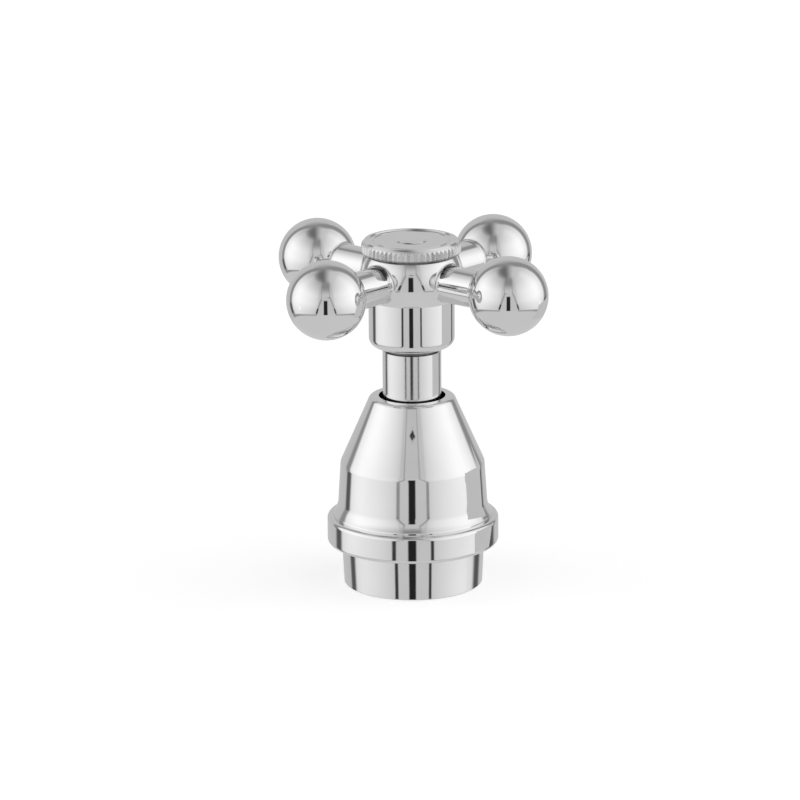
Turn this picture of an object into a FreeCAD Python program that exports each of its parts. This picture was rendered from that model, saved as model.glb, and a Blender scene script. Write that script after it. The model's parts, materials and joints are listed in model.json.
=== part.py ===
import FreeCAD, Part

import math
import os
import re

import Sketcher

# Cross handle tap: a rising-spindle side valve with a four-armed handle, drawn closed.
# Millimetres, +Z up. The origin is the middle of the barrel's flat foot. The arms lie along X and Y.

SHEET_NAME = "Sizes"
WHOLE_TURN = 360
ARM_SIDES = ("right", "back", "left", "front")
QUARTER_TURN = WHOLE_TURN / len(ARM_SIDES)
LEAST_CUT = 1e-6
SAME_PLACE = 1e-3

# Driving dimensions: alias, value, what it is.
SIZES = (
    ("barrel_height", 9.45, "foot of the barrel to the underside of the ring"),
    ("barrel_foot_radius", 15.4, "barrel at its foot"),
    ("barrel_top_radius", 15.85, "barrel under the ring"),
    ("barrel_edge", 0.25, "bevel round the foot"),
    ("neck_radius", 13.0, "neck of the body inside ring and bonnet"),
    ("neck_height", 10.85, "neck above the barrel's shoulder"),
    ("seat_face_gap", 0.05, "washer above the seat when shut"),
    ("slip_gap", 0.05, "radial gap of threads, spigots and sliding fits"),
    ("washer_gap", 0.1, "radial gap of washers round what passes through them"),
    ("gland_gap", 0.15, "radial gap of the gland nut round the spindle"),
    ("ring_radius", 19.05, "outside of the collar ring"),
    ("ring_height", 6.15, "height of the collar ring"),
    ("ring_edge", 0.85, "rounded edges of the collar ring"),
    ("bonnet_height", 27.3, "foot of the bonnet to its mouth"),
    ("bonnet_lip_reach", 1.15, "lip at the bonnet's foot, beyond the skirt"),
    ("bonnet_lip_height", 0.5, "height of the lip"),
    ("bonnet_lip_round", 0.35, "rounded lip"),
    ("bonnet_cove_radius", 5.0, "hollow curve between lip and skirt"),
    ("bonnet_skirt_radius", 16.55, "skirt above the cove"),
    ("bonnet_knee_radius", 16.0, "corner between skirt and cone"),
    ("bonnet_knee_height", 12.2, "that corner above the foot"),
    ("bonnet_knee_round", 2.2, "rounding of that corner"),
    ("bonnet_mouth_radius", 9.35, "edge at the bonnet's mouth"),
    ("bonnet_mouth_round", 1.15, "rounding of that edge"),
    ("bonnet_hole_radius", 7.4, "hole that the sleeve passes through"),
    ("bonnet_wall", 1.9, "wall of the bonnet"),
    ("bonnet_grip", 4.9, "height of bonnet that fits the neck"),
    ("seal_groove_height", 8.65, "lower edge of the neck's seal groove above the shoulder"),
    ("seal_groove_width", 1.5, "width of that groove"),
    ("seal_groove_depth", 1.15, "depth of that groove"),
    ("tail_radius", 4.5, "tapping hole of an M10 x 1 thread"),
    ("tail_depth", 6.2, "depth of the two tail holes"),
    ("tail_offset", 7.6, "tail holes from the middle"),
    ("stud_radius", 2.5, "tapping hole of an M6 thread"),
    ("stud_depth", 7.2, "depth of the stud hole"),
    ("stud_offset", 9.5, "stud hole from the middle"),
    ("foot_groove_radius", 12.9, "inside of the groove for the foot's seal"),
    ("foot_groove_width", 1.4, "width of that groove"),
    ("foot_groove_depth", 1.2, "depth of that groove"),
    ("passage_radius", 3.6, "half width of the inlet passage"),
    ("passage_height", 2.4, "height of the inlet passage"),
    ("outlet_radius", 2.4, "outlet drilling"),
    ("outlet_offset", 8.6, "outlet drilling from the middle"),
    ("chamber_web", 1.2, "metal between passage and chamber"),
    ("chamber_radius", 9.8, "chamber round the seat"),
    ("chamber_height", 3.6, "chamber below the headwork's thread"),
    ("boss_radius", 6.2, "boss that carries the seat"),
    ("boss_height", 1.4, "height of the boss"),
    ("seat_radius", 5.0, "spigot of the seat"),
    ("seat_bore", 3.9, "waterway through the seat"),
    ("seat_rim_radius", 5.8, "rim of the seat"),
    ("seat_rim_height", 1.0, "height of the rim"),
    ("seat_rim_round", 0.35, "rounded rim"),
    ("headwork_radius", 10.45, "outside of the headwork's G 1/2 thread"),
    ("headwork_start", 0.5, "end of that thread above the chamber"),
    ("headwork_recess_radius", 7.6, "recess that the jumper rises into"),
    ("headwork_recess_height", 7.3, "height of that recess"),
    ("headwork_hexagon", 22.0, "across the flats of the headwork"),
    ("headwork_hexagon_height", 5.0, "height of the hexagon"),
    ("headwork_tower_radius", 8.2, "tower above the hexagon"),
    ("headwork_tower_height", 19.3, "bottom of the headwork to the tower's top"),
    ("stuffing_radius", 6.15, "stuffing box"),
    ("stuffing_depth", 3.9, "depth of the stuffing box"),
    ("headwork_washer_radius", 12.6, "outside of the fibre washer"),
    ("headwork_washer_height", 1.0, "thickness of the fibre washer"),
    ("gland_washer_height", 0.7, "thickness of the gland washer"),
    ("packing_height", 1.6, "height of the packing"),
    ("gland_hexagon", 14.0, "across the flats of the gland nut"),
    ("gland_head_height", 3.0, "height of the gland nut's head"),
    ("spindle_thread_radius", 5.0, "outside of the spindle's thread"),
    ("spindle_thread_height", 8.2, "length of that thread"),
    ("spindle_radius", 4.0, "plain spindle"),
    ("spindle_bore_depth", 7.6, "hole for the jumper"),
    ("spindle_tapped_depth", 12.0, "tapped hole for the handle screw"),
    ("jumper_gap", 0.1, "jumper's flange to the spindle"),
    ("jumper_stud_radius", 1.95, "stud through the washer"),
    ("jumper_stud_end", 0.45, "stud beyond the washer nut"),
    ("jumper_flange_radius", 7.0, "flange over the washer"),
    ("jumper_flange_height", 1.6, "thickness of that flange"),
    ("jumper_stem_radius", 3.0, "stem inside the spindle"),
    ("jumper_stem_height", 7.2, "height of that stem"),
    ("tap_washer_radius", 6.9, "rubber washer"),
    ("tap_washer_height", 2.75, "thickness of the rubber washer"),
    ("washer_nut_hexagon", 5.5, "across the flats of the washer nut"),
    ("washer_nut_height", 2.2, "height of the washer nut"),
    ("ball_height", 70.0, "middle of the arms above the foot"),
    ("ball_radius", 8.69, "balls on the arms"),
    ("ball_reach", 27.87, "middle of a ball from the spindle's axis"),
    ("arm_radius", 4.17, "round arms"),
    ("arm_flare", 1.0, "hollow curve between arm and ball"),
    ("arm_start", 13.6, "where the arm meets the hub's stub"),
    ("arm_thread_radius", 2.95, "screwed end in the hub"),
    ("arm_thread_length", 5.2, "length of the screwed end"),
    ("arm_spigot_radius", 2.45, "spigot inside the ball"),
    ("arm_spigot_length", 6.0, "spigot beyond the ball's face"),
    ("hub_radius", 11.5, "widest part of the hub"),
    ("hub_bulge_radius", 8.86, "curve of the hub's side"),
    ("hub_bulge_lift", 0.4, "widest part above the arms' middle"),
    ("hub_foot_drop", 4.84, "collar's top below the arms' middle"),
    ("hub_crown_lift", 5.5, "hub's top above the arms' middle"),
    ("hub_root_round", 0.8, "hollow curve between stub and hub"),
    ("collar_radius", 9.49, "collar under the hub"),
    ("collar_height", 10.9, "height of the collar"),
    ("collar_round", 2.1, "rounded foot of the collar"),
    ("spigot_radius", 7.5, "thread that carries the cap"),
    ("spigot_height", 1.5, "height of that thread"),
    ("sleeve_radius", 6.5, "sleeve between collar and bonnet"),
    ("sleeve_bore", 4.3, "inside of the sleeve"),
    ("sleeve_neck_radius", 5.8, "thinner end of the sleeve, in the collar"),
    ("sleeve_groove", 1.0, "thinner end that shows below the collar"),
    ("sleeve_grip", 4.0, "sleeve inside the collar"),
    ("sleeve_gap", 0.56, "sleeve above the gland nut when shut"),
    ("screw_bore", 2.65, "hole for the handle screw"),
    ("screw_pocket_radius", 4.4, "pocket for the screw's head"),
    ("screw_pocket_depth", 5.0, "depth of that pocket"),
    ("screw_web", 4.1, "metal between that pocket and the spindle's end"),
    ("screw_radius", 2.45, "thread of the handle screw"),
    ("screw_length", 15.0, "length of the handle screw below its head"),
    ("screw_head_radius", 3.9, "head of the handle screw"),
    ("screw_head_height", 2.6, "height of that head"),
    ("screw_key", 3.0, "across the flats of its key socket"),
    ("screw_key_depth", 1.5, "depth of the key socket"),
    ("screw_washer_radius", 4.2, "outside of its washer"),
    ("screw_washer_height", 0.8, "thickness of its washer"),
    ("cap_radius", 11.0, "index cap over its knurl"),
    ("cap_height", 2.85, "height of the index cap"),
    ("cap_face_radius", 10.25, "edge of the cap's face"),
    ("cap_bevel", 0.3, "bevels round the face and the foot"),
    ("cap_side_round", 1.6, "rounding of the side below the upper bevel"),
    ("cap_bore_depth", 1.65, "depth of the cap's thread"),
    ("cap_rim", 0.7, "width of the rim round the face"),
    ("cap_dish", 0.24, "face below the rim"),
    ("cap_line_radius", 8.4, "turned line on the face"),
    ("cap_line_width", 0.44, "width of the turned line"),
    ("cap_line_depth", 0.18, "depth of the turned line"),
    ("cap_boss_radius", 3.4, "raised round in the middle of the face"),
    ("knurl_count", 60, "ridges of the knurl"),
    ("knurl_depth", 0.26, "depth of the knurl"),
    ("knurl_share", 0.9, "notch's share of the way from ridge to ridge"),
    ("cap_seal_radius", 8.8, "middle of the cap's seal"),
    ("cap_seal_thickness", 0.9, "thickness of the cap's seal"),
)

# Heights above the foot, and other lengths that follow from the sheet.
PLACES = {
    "neck_top": "barrel_height + neck_height",
    "ring_top": "barrel_height + ring_height",
    "fit_radius": "neck_radius + slip_gap",
    "passage_top": "tail_depth + passage_height",
    "chamber_floor": "passage_top + chamber_web",
    "chamber_top": "chamber_floor + chamber_height",
    "boss_top": "chamber_floor + boss_height",
    "seat_face": "boss_top + seat_rim_height",
    "washer_bottom": "seat_face + seat_face_gap",
    "washer_top": "washer_bottom + tap_washer_height",
    "jumper_bottom": "washer_bottom - washer_nut_height - jumper_stud_end",
    "spindle_bottom": "washer_top + jumper_flange_height + jumper_gap",
    "headwork_bottom": "chamber_top + headwork_start",
    "headwork_top": "headwork_bottom + headwork_tower_height",
    "hexagon_bottom": "neck_top + headwork_washer_height",
    "stuffing_bottom": "headwork_top - stuffing_depth",
    "packing_bottom": "stuffing_bottom + gland_washer_height",
    "gland_bottom": "packing_bottom + packing_height",
    "gland_top": "headwork_top + gland_head_height",
    "collar_top": "ball_height - hub_foot_drop",
    "collar_bottom": "collar_top - collar_height",
    "hub_top": "ball_height + hub_crown_lift",
    "sleeve_bottom": "gland_top + sleeve_gap",
    "sleeve_height": "collar_bottom + sleeve_grip - sleeve_bottom",
    "pocket_floor": "hub_top - screw_pocket_depth",
    "spindle_top": "pocket_floor - screw_web",
    "spindle_height": "spindle_top - spindle_bottom",
    "screw_head_bottom": "pocket_floor + screw_washer_height",
}

UPRIGHT = FreeCAD.Vector(0, 0, 1)

document = FreeCAD.newDocument("cross_handle_tap")
sheet = document.addObject("Spreadsheet::Sheet", SHEET_NAME)
for row, (alias, size, meaning) in enumerate(SIZES, start=1):
    sheet.set(f"A{row}", alias)
    sheet.set(f"B{row}", str(size))
    sheet.set(f"C{row}", meaning)
    sheet.setAlias(f"B{row}", alias)
document.recompute()

ALIASES = {alias for alias, size, meaning in SIZES}


def formula(text):
    """Write a sum of named sizes and places as an expression on the sheet."""
    def spell(match):
        word = match.group(0)
        if word in PLACES:
            return f"({formula(PLACES[word])})"
        if word in ALIASES:
            return f"{SHEET_NAME}.{word}"
        return word
    return re.sub(r"[a-z_]+", spell, text)


def length(text):
    """The present value of such a sum."""
    return float(sheet.evalExpression(formula(text)))


def bind(thing, setting, text):
    """Tie one setting of an object to the sheet."""
    thing.setExpression(setting, formula(text))


def new_body(label, height="0", turn=0):
    """A body with its own name, lifted to a height and turned about the spindle's axis."""
    body = document.addObject("PartDesign::Body", label)
    body.Label = label
    body.Placement.Rotation = FreeCAD.Rotation(UPRIGHT, turn)
    bind(body, ".Placement.Base.z", height)
    return body


def new_sketch(body, name, role, lift="0"):
    """A sketch on one of the body's own planes, lifted along that plane's normal."""
    sketch = body.newObject("Sketcher::SketchObject", name)
    plane = next(item for item in body.Origin.OriginFeatures if item.Role == role)
    sketch.AttachmentSupport = [(plane, "")]
    sketch.MapMode = "FlatFace"
    bind(sketch, ".AttachmentOffset.Base.z", lift)
    return sketch


POINTS_OF_CURVE = ("edge", "start", "end", "middle")
START = POINTS_OF_CURVE.index("start")
END = POINTS_OF_CURVE.index("end")
MIDDLE = POINTS_OF_CURVE.index("middle")
ORIGIN = (-1, START)
ACROSS, UP = "DistanceX", "DistanceY"
AXIS_OF_SKETCH = {ACROSS: -2, UP: -1}


def hold(sketch, direction, curve, point, text):
    """Hold a point of a curve at a distance from the sketch's origin."""
    if text == "0":
        axis = AXIS_OF_SKETCH[direction]
        sketch.addConstraint(Sketcher.Constraint("PointOnObject", curve, point, axis))
        return
    constraint = Sketcher.Constraint(direction, *ORIGIN, curve, point, length(text))
    number = sketch.addConstraint(constraint)
    bind(sketch, f"Constraints[{number}]", text)


def add_arc(sketch, start, end, middle):
    """The short arc between two points about a middle, and which of its ends is the start. Half a
    circle goes counterclockwise."""
    whole = Part.Circle(middle, UPRIGHT, start.distanceToPoint(middle))
    first = whole.parameter(start)
    last = whole.parameter(end)
    turn = (last - first) % (2 * math.pi)
    if turn < math.pi + SAME_PLACE:
        curve = sketch.addGeometry(Part.ArcOfCircle(whole, first, last))
        return curve, START, END
    curve = sketch.addGeometry(Part.ArcOfCircle(whole, last, first))
    return curve, END, START


def outline(body, name, role, corners, lift="0"):
    """A closed sketch through corners (across, up). A corner with a third entry, the middle of an
    arc, is reached by that arc, which leaves one of its coordinates to be held."""
    sketch = new_sketch(body, name, role, lift)
    points = [FreeCAD.Vector(length(corner[0]), length(corner[1]), 0) for corner in corners]
    ends = []
    for number, corner in enumerate(corners):
        start = points[number - 1]
        end = points[number]
        if len(corner) == 2:
            curve = sketch.addGeometry(Part.LineSegment(start, end))
            ends.append((curve, START, END))
            continue
        middle = FreeCAD.Vector(length(corner[2][0]), length(corner[2][1]), 0)
        ends.append(add_arc(sketch, start, end, middle))
    for number, corner in enumerate(corners):
        before = ends[number - 1]
        curve, start, end = ends[number]
        sketch.addConstraint(Sketcher.Constraint("Coincident", before[0], before[2], curve, start))
        if len(corner) == 2:
            hold(sketch, ACROSS, curve, end, corner[0])
            hold(sketch, UP, curve, end, corner[1])
            continue
        hold(sketch, ACROSS, curve, MIDDLE, corner[2][0])
        hold(sketch, UP, curve, MIDDLE, corner[2][1])
        spoke = points[number] - FreeCAD.Vector(length(corner[2][0]), length(corner[2][1]), 0)
        if abs(spoke.y) > abs(spoke.x):
            hold(sketch, ACROSS, curve, end, corner[0])
        else:
            hold(sketch, UP, curve, end, corner[1])
    if sketch.solve() != 0:
        raise RuntimeError(f"{body.Label}: sketch {name} has no solution")
    return sketch


def turned(body, name, corners, axis="V_Axis"):
    """A solid of revolution from an outline of (radius, height) corners."""
    feature = body.newObject("PartDesign::Revolution", name)
    feature.Profile = outline(body, name + "_outline", "XZ_Plane", corners)
    feature.ReferenceAxis = (feature.Profile[0], [axis])
    feature.Angle = WHOLE_TURN
    document.recompute()
    return feature


def must_remove(body, feature, before):
    """A cut that takes nothing away points the wrong way."""
    document.recompute()
    if body.Shape.Volume > before - LEAST_CUT:
        raise RuntimeError(f"{body.Label}: {feature.Name} cuts nothing")


def bored(body, name, corners, axis="V_Axis"):
    """A turned recess from an outline of (radius, height) corners."""
    before = body.Shape.Volume
    feature = body.newObject("PartDesign::Groove", name)
    feature.Profile = outline(body, name + "_outline", "XZ_Plane", corners)
    feature.ReferenceAxis = (feature.Profile[0], [axis])
    feature.Angle = WHOLE_TURN
    must_remove(body, feature, before)
    return feature


def pocket(body, name, sketch, depth):
    """A pocket that goes up from its sketch."""
    before = body.Shape.Volume
    feature = body.newObject("PartDesign::Pocket", name)
    feature.Profile = sketch
    feature.Reversed = True
    bind(feature, "Length", depth)
    must_remove(body, feature, before)
    return feature


def circle(body, name, role, across, up, radius, lift="0"):
    """A sketch of one circle."""
    sketch = new_sketch(body, name, role, lift)
    middle = FreeCAD.Vector(length(across), length(up), 0)
    curve = sketch.addGeometry(Part.Circle(middle, UPRIGHT, length(radius)))
    hold(sketch, ACROSS, curve, MIDDLE, across)
    hold(sketch, UP, curve, MIDDLE, up)
    number = sketch.addConstraint(Sketcher.Constraint("Radius", curve, length(radius)))
    bind(sketch, f"Constraints[{number}]", radius)
    return sketch


def drilled(body, name, across, up, radius, depth):
    """A round hole up from the foot, beside the middle."""
    return pocket(body, name, circle(body, name + "_circle", "XY_Plane", across, up, radius), depth)


def patterned(body, name, feature, count):
    """A feature repeated round the upright axis."""
    pattern = body.newObject("PartDesign::PolarPattern", name)
    pattern.Originals = [feature]
    upright = next(item for item in body.Origin.OriginFeatures if item.Role == "Z_Axis")
    pattern.Axis = (upright, [""])
    pattern.Angle = WHOLE_TURN
    bind(pattern, "Occurrences", count)
    body.Tip = pattern
    document.recompute()
    return pattern


def rings(feature, radius, height):
    """The names of a solid's round edges of one radius at one height."""
    found = []
    for number, edge in enumerate(feature.Shape.Edges, start=1):
        curve = edge.Curve
        if not isinstance(curve, Part.Circle):
            continue
        same_radius = abs(curve.Radius - length(radius)) < SAME_PLACE
        same_height = abs(curve.Center.z - length(height)) < SAME_PLACE
        if same_radius and same_height:
            found.append(f"Edge{number}")
    if not found:
        raise RuntimeError(f"{feature.Name}: no edge of radius {radius} at {height}")
    return found


def softened(body, name, base, edges, size, kind="Fillet"):
    """Round or bevel some edges."""
    feature = body.newObject("PartDesign::" + kind, name)
    feature.Base = (base, edges)
    bind(feature, "Radius" if kind == "Fillet" else "Size", size)
    document.recompute()
    return feature


def hexagon(body, name, kind, flats, height, lift="0"):
    """A six-sided prism, added or cut."""
    feature = body.newObject("PartDesign::" + kind, name)
    plane = next(item for item in body.Origin.OriginFeatures if item.Role == "XY_Plane")
    feature.AttachmentSupport = [(plane, "")]
    feature.MapMode = "FlatFace"
    feature.Polygon = 6
    bind(feature, "Circumradius", f"({flats}) / sqrt(3)")
    bind(feature, "Height", height)
    bind(feature, ".AttachmentOffset.Base.z", lift)
    document.recompute()
    return feature


def tube(label, inner, outer, height, bottom):
    """A plain ring or tube."""
    body = new_body(label, bottom)
    corners = ((inner, "0"), (outer, "0"), (outer, height), (inner, height))
    turned(body, "wall", corners)
    return body


def o_ring(label, middle_radius, thickness, height):
    """A rubber ring of round section."""
    ring = document.addObject("Part::Torus", label)
    ring.Label = label
    bind(ring, "Radius1", middle_radius)
    bind(ring, "Radius2", f"({thickness}) / 2")
    bind(ring, ".Placement.Base.z", height)
    return ring


def make_tap_body():
    """The barrel, with its neck, chamber, seat boss, tail holes and stud hole."""
    body = new_body("tap_body")
    groove = "neck_radius - seal_groove_depth"
    groove_bottom = "barrel_height + seal_groove_height"
    groove_top = "barrel_height + seal_groove_height + seal_groove_width"
    barrel = turned(body, "barrel", (
        ("0", "0"),
        ("barrel_foot_radius", "0"),
        ("barrel_top_radius", "barrel_height"),
        ("neck_radius", "barrel_height"),
        ("neck_radius", groove_bottom),
        (groove, groove_bottom),
        (groove, groove_top),
        ("neck_radius", groove_top),
        ("neck_radius", "neck_top"),
        ("0", "neck_top"),
    ))
    foot_edge = rings(barrel, "barrel_foot_radius", "0")
    softened(body, "foot_bevel", barrel, foot_edge, "barrel_edge", "Chamfer")
    bored(body, "chamber", (
        ("0", "tail_depth"),
        ("seat_bore", "tail_depth"),
        ("seat_bore", "passage_top"),
        ("seat_radius + slip_gap", "passage_top"),
        ("seat_radius + slip_gap", "boss_top"),
        ("boss_radius", "boss_top"),
        ("boss_radius", "chamber_floor"),
        ("chamber_radius", "chamber_floor"),
        ("chamber_radius", "chamber_top"),
        ("headwork_radius + slip_gap", "chamber_top"),
        ("headwork_radius + slip_gap", "neck_top"),
        ("0", "neck_top"),
    ))
    bored(body, "foot_groove", (
        ("foot_groove_radius", "0"),
        ("foot_groove_radius + foot_groove_width", "0"),
        ("foot_groove_radius + foot_groove_width", "foot_groove_depth"),
        ("foot_groove_radius", "foot_groove_depth"),
    ))
    drilled(body, "inlet", "-tail_offset", "0", "tail_radius", "tail_depth")
    drilled(body, "outlet", "tail_offset", "0", "tail_radius", "tail_depth")
    drilled(body, "stud_hole", "0", "-stud_offset", "stud_radius", "stud_depth")
    drilled(body, "outlet_drilling", "outlet_offset", "0", "outlet_radius", "chamber_floor")
    passage = new_sketch(body, "inlet_passage_outline", "XY_Plane", "tail_depth")
    add_slot(passage, "tail_offset", "passage_radius")
    pocket(body, "inlet_passage", passage, "passage_height")
    return body


def add_slot(sketch, reach, radius):
    """A slot from the origin towards -X, with round ends."""
    far = FreeCAD.Vector(-length(reach), 0, 0)
    near = FreeCAD.Vector(0, 0, 0)
    half = FreeCAD.Vector(0, length(radius), 0)
    left, left_start, left_end = add_arc(sketch, far + half, far - half, far)
    right, right_start, right_end = add_arc(sketch, near - half, near + half, near)
    lower = sketch.addGeometry(Part.LineSegment(far - half, near - half))
    upper = sketch.addGeometry(Part.LineSegment(near + half, far + half))
    joints = (
        (left, left_end, lower, START),
        (lower, END, right, right_start),
        (right, right_end, upper, START),
        (upper, END, left, left_start),
    )
    for joint in joints:
        sketch.addConstraint(Sketcher.Constraint("Tangent", *joint))
    hold(sketch, ACROSS, left, MIDDLE, "-" + reach)
    hold(sketch, UP, left, MIDDLE, "0")
    hold(sketch, ACROSS, right, MIDDLE, "0")
    number = sketch.addConstraint(Sketcher.Constraint("Radius", right, length(radius)))
    bind(sketch, f"Constraints[{number}]", radius)


def make_base_ring():
    """The collar ring that sits on the barrel's shoulder."""
    body = new_body("base_ring", "barrel_height")
    ring = turned(body, "ring", (
        ("fit_radius", "0"),
        ("ring_radius", "0"),
        ("ring_radius", "ring_height"),
        ("fit_radius", "ring_height"),
    ))
    edges = rings(ring, "ring_radius", "0") + rings(ring, "ring_radius", "ring_height")
    softened(body, "edges", ring, edges, "ring_edge")
    return body


def make_bonnet():
    """The tapered cover: lip, cove, skirt, cone and mouth outside, one wall thick."""
    body = new_body("bonnet", "ring_top")
    lip_radius = "bonnet_skirt_radius + bonnet_lip_reach"
    cove_reach = "(bonnet_cove_radius - bonnet_lip_reach)"
    cove_top = f"bonnet_lip_height + sqrt(bonnet_cove_radius ^ 2 - {cove_reach} ^ 2)"
    cove_middle = ("bonnet_skirt_radius + bonnet_cove_radius", cove_top)
    shell = turned(body, "outside", (
        ("0", "0"),
        (lip_radius, "0"),
        (lip_radius, "bonnet_lip_height"),
        ("bonnet_skirt_radius", cove_top, cove_middle),
        ("bonnet_knee_radius", "bonnet_knee_height"),
        ("bonnet_mouth_radius", "bonnet_height"),
        ("0", "bonnet_height"),
    ))
    knee = rings(shell, "bonnet_knee_radius", "bonnet_knee_height")
    shell = softened(body, "knee", shell, knee, "bonnet_knee_round")
    mouth = rings(shell, "bonnet_mouth_radius", "bonnet_height")
    shell = softened(body, "mouth", shell, mouth, "bonnet_mouth_round")
    lip = rings(shell, lip_radius, "bonnet_lip_height")
    softened(body, "lip", shell, lip, "bonnet_lip_round")
    roof = "bonnet_height - bonnet_wall"
    bored(body, "inside", (
        ("0", "0"),
        ("fit_radius", "0"),
        ("fit_radius", "bonnet_grip"),
        ("bonnet_skirt_radius - bonnet_wall", "bonnet_grip"),
        ("bonnet_knee_radius - bonnet_wall", "bonnet_knee_height - bonnet_wall / 2"),
        ("bonnet_mouth_radius - bonnet_wall / 2", roof),
        ("bonnet_hole_radius", roof),
        ("bonnet_hole_radius", "bonnet_height"),
        ("0", "bonnet_height"),
    ))
    return body


def make_headwork_body():
    """The headwork: thread, hexagon, tower, recess, spindle thread and stuffing box."""
    body = new_body("headwork_body", "headwork_bottom")
    hexagon_lift = "hexagon_bottom - headwork_bottom"
    turned(body, "outside", (
        ("0", "0"),
        ("headwork_radius", "0"),
        ("headwork_radius", hexagon_lift),
        ("headwork_tower_radius", hexagon_lift),
        ("headwork_tower_radius", "headwork_tower_height"),
        ("0", "headwork_tower_height"),
    ))
    hexagon(body, "hexagon", "AdditivePrism", "headwork_hexagon", "headwork_hexagon_height",
            hexagon_lift)
    bored(body, "inside", (
        ("0", "0"),
        ("headwork_recess_radius", "0"),
        ("headwork_recess_radius", "headwork_recess_height"),
        ("spindle_thread_radius + slip_gap", "headwork_recess_height"),
        ("spindle_thread_radius + slip_gap", "headwork_tower_height - stuffing_depth"),
        ("stuffing_radius", "headwork_tower_height - stuffing_depth"),
        ("stuffing_radius", "headwork_tower_height"),
        ("0", "headwork_tower_height"),
    ))
    return body


def make_gland_nut():
    """The gland nut: a nose that presses the packing, and a hexagon."""
    body = new_body("gland_nut", "gland_bottom")
    nose_height = "headwork_top - gland_bottom"
    turned(body, "nose", (
        ("0", "0"),
        ("stuffing_radius - slip_gap", "0"),
        ("stuffing_radius - slip_gap", nose_height),
        ("0", nose_height),
    ))
    hexagon(body, "head", "AdditivePrism", "gland_hexagon", "gland_head_height", nose_height)
    top = f"{nose_height} + gland_head_height"
    bored(body, "hole", (
        ("0", "0"),
        ("spindle_radius + gland_gap", "0"),
        ("spindle_radius + gland_gap", top),
        ("0", top),
    ))
    return body


def make_valve_seat():
    """The seat: a spigot in the boss, with a rounded rim above it."""
    body = new_body("valve_seat", "passage_top")
    rim_bottom = "boss_top - passage_top"
    rim_top = "seat_face - passage_top"
    seat = turned(body, "seat", (
        ("seat_bore", "0"),
        ("seat_radius", "0"),
        ("seat_radius", rim_bottom),
        ("seat_rim_radius", rim_bottom),
        ("seat_rim_radius", rim_top),
        ("seat_bore", rim_top),
    ))
    softened(body, "rim", seat, rings(seat, "seat_rim_radius", rim_top), "seat_rim_round")
    return body


def make_jumper():
    """The jumper: a stud for the washer, a flange, and a stem inside the spindle."""
    body = new_body("jumper", "jumper_bottom")
    flange_bottom = "washer_top - jumper_bottom"
    flange_top = "washer_top + jumper_flange_height - jumper_bottom"
    stem_top = f"{flange_top} + jumper_stem_height"
    turned(body, "valve", (
        ("0", "0"),
        ("jumper_stud_radius", "0"),
        ("jumper_stud_radius", flange_bottom),
        ("jumper_flange_radius", flange_bottom),
        ("jumper_flange_radius", flange_top),
        ("jumper_stem_radius", flange_top),
        ("jumper_stem_radius", stem_top),
        ("0", stem_top),
    ))
    return body


def make_washer_nut():
    """The small nut that holds the washer on the stud."""
    body = new_body("washer_nut", "washer_bottom - washer_nut_height")
    hexagon(body, "nut", "AdditivePrism", "washer_nut_hexagon", "washer_nut_height")
    bored(body, "thread", (
        ("0", "0"),
        ("jumper_stud_radius + slip_gap", "0"),
        ("jumper_stud_radius + slip_gap", "washer_nut_height"),
        ("0", "washer_nut_height"),
    ))
    return body


def make_spindle():
    """The spindle: thread below, plain above, bored for the jumper and tapped for the screw."""
    body = new_body("spindle", "spindle_bottom")
    turned(body, "outside", (
        ("0", "0"),
        ("spindle_thread_radius", "0"),
        ("spindle_thread_radius", "spindle_thread_height"),
        ("spindle_radius", "spindle_thread_height"),
        ("spindle_radius", "spindle_height"),
        ("0", "spindle_height"),
    ))
    bored(body, "jumper_bore", (
        ("0", "0"),
        ("jumper_stem_radius + slip_gap", "0"),
        ("jumper_stem_radius + slip_gap", "spindle_bore_depth"),
        ("0", "spindle_bore_depth"),
    ))
    bored(body, "tapped_hole", (
        ("0", "spindle_height - spindle_tapped_depth"),
        ("screw_radius + slip_gap", "spindle_height - spindle_tapped_depth"),
        ("screw_radius + slip_gap", "spindle_height"),
        ("0", "spindle_height"),
    ))
    return body


def make_stem_sleeve():
    """The sleeve over the spindle, with a thinner end in the collar."""
    body = new_body("stem_sleeve", "sleeve_bottom")
    shoulder = "sleeve_height - sleeve_grip - sleeve_groove"
    turned(body, "wall", (
        ("sleeve_bore", "0"),
        ("sleeve_radius", "0"),
        ("sleeve_radius", shoulder),
        ("sleeve_neck_radius", shoulder),
        ("sleeve_neck_radius", "sleeve_height"),
        ("sleeve_bore", "sleeve_height"),
    ))
    return body


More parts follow.
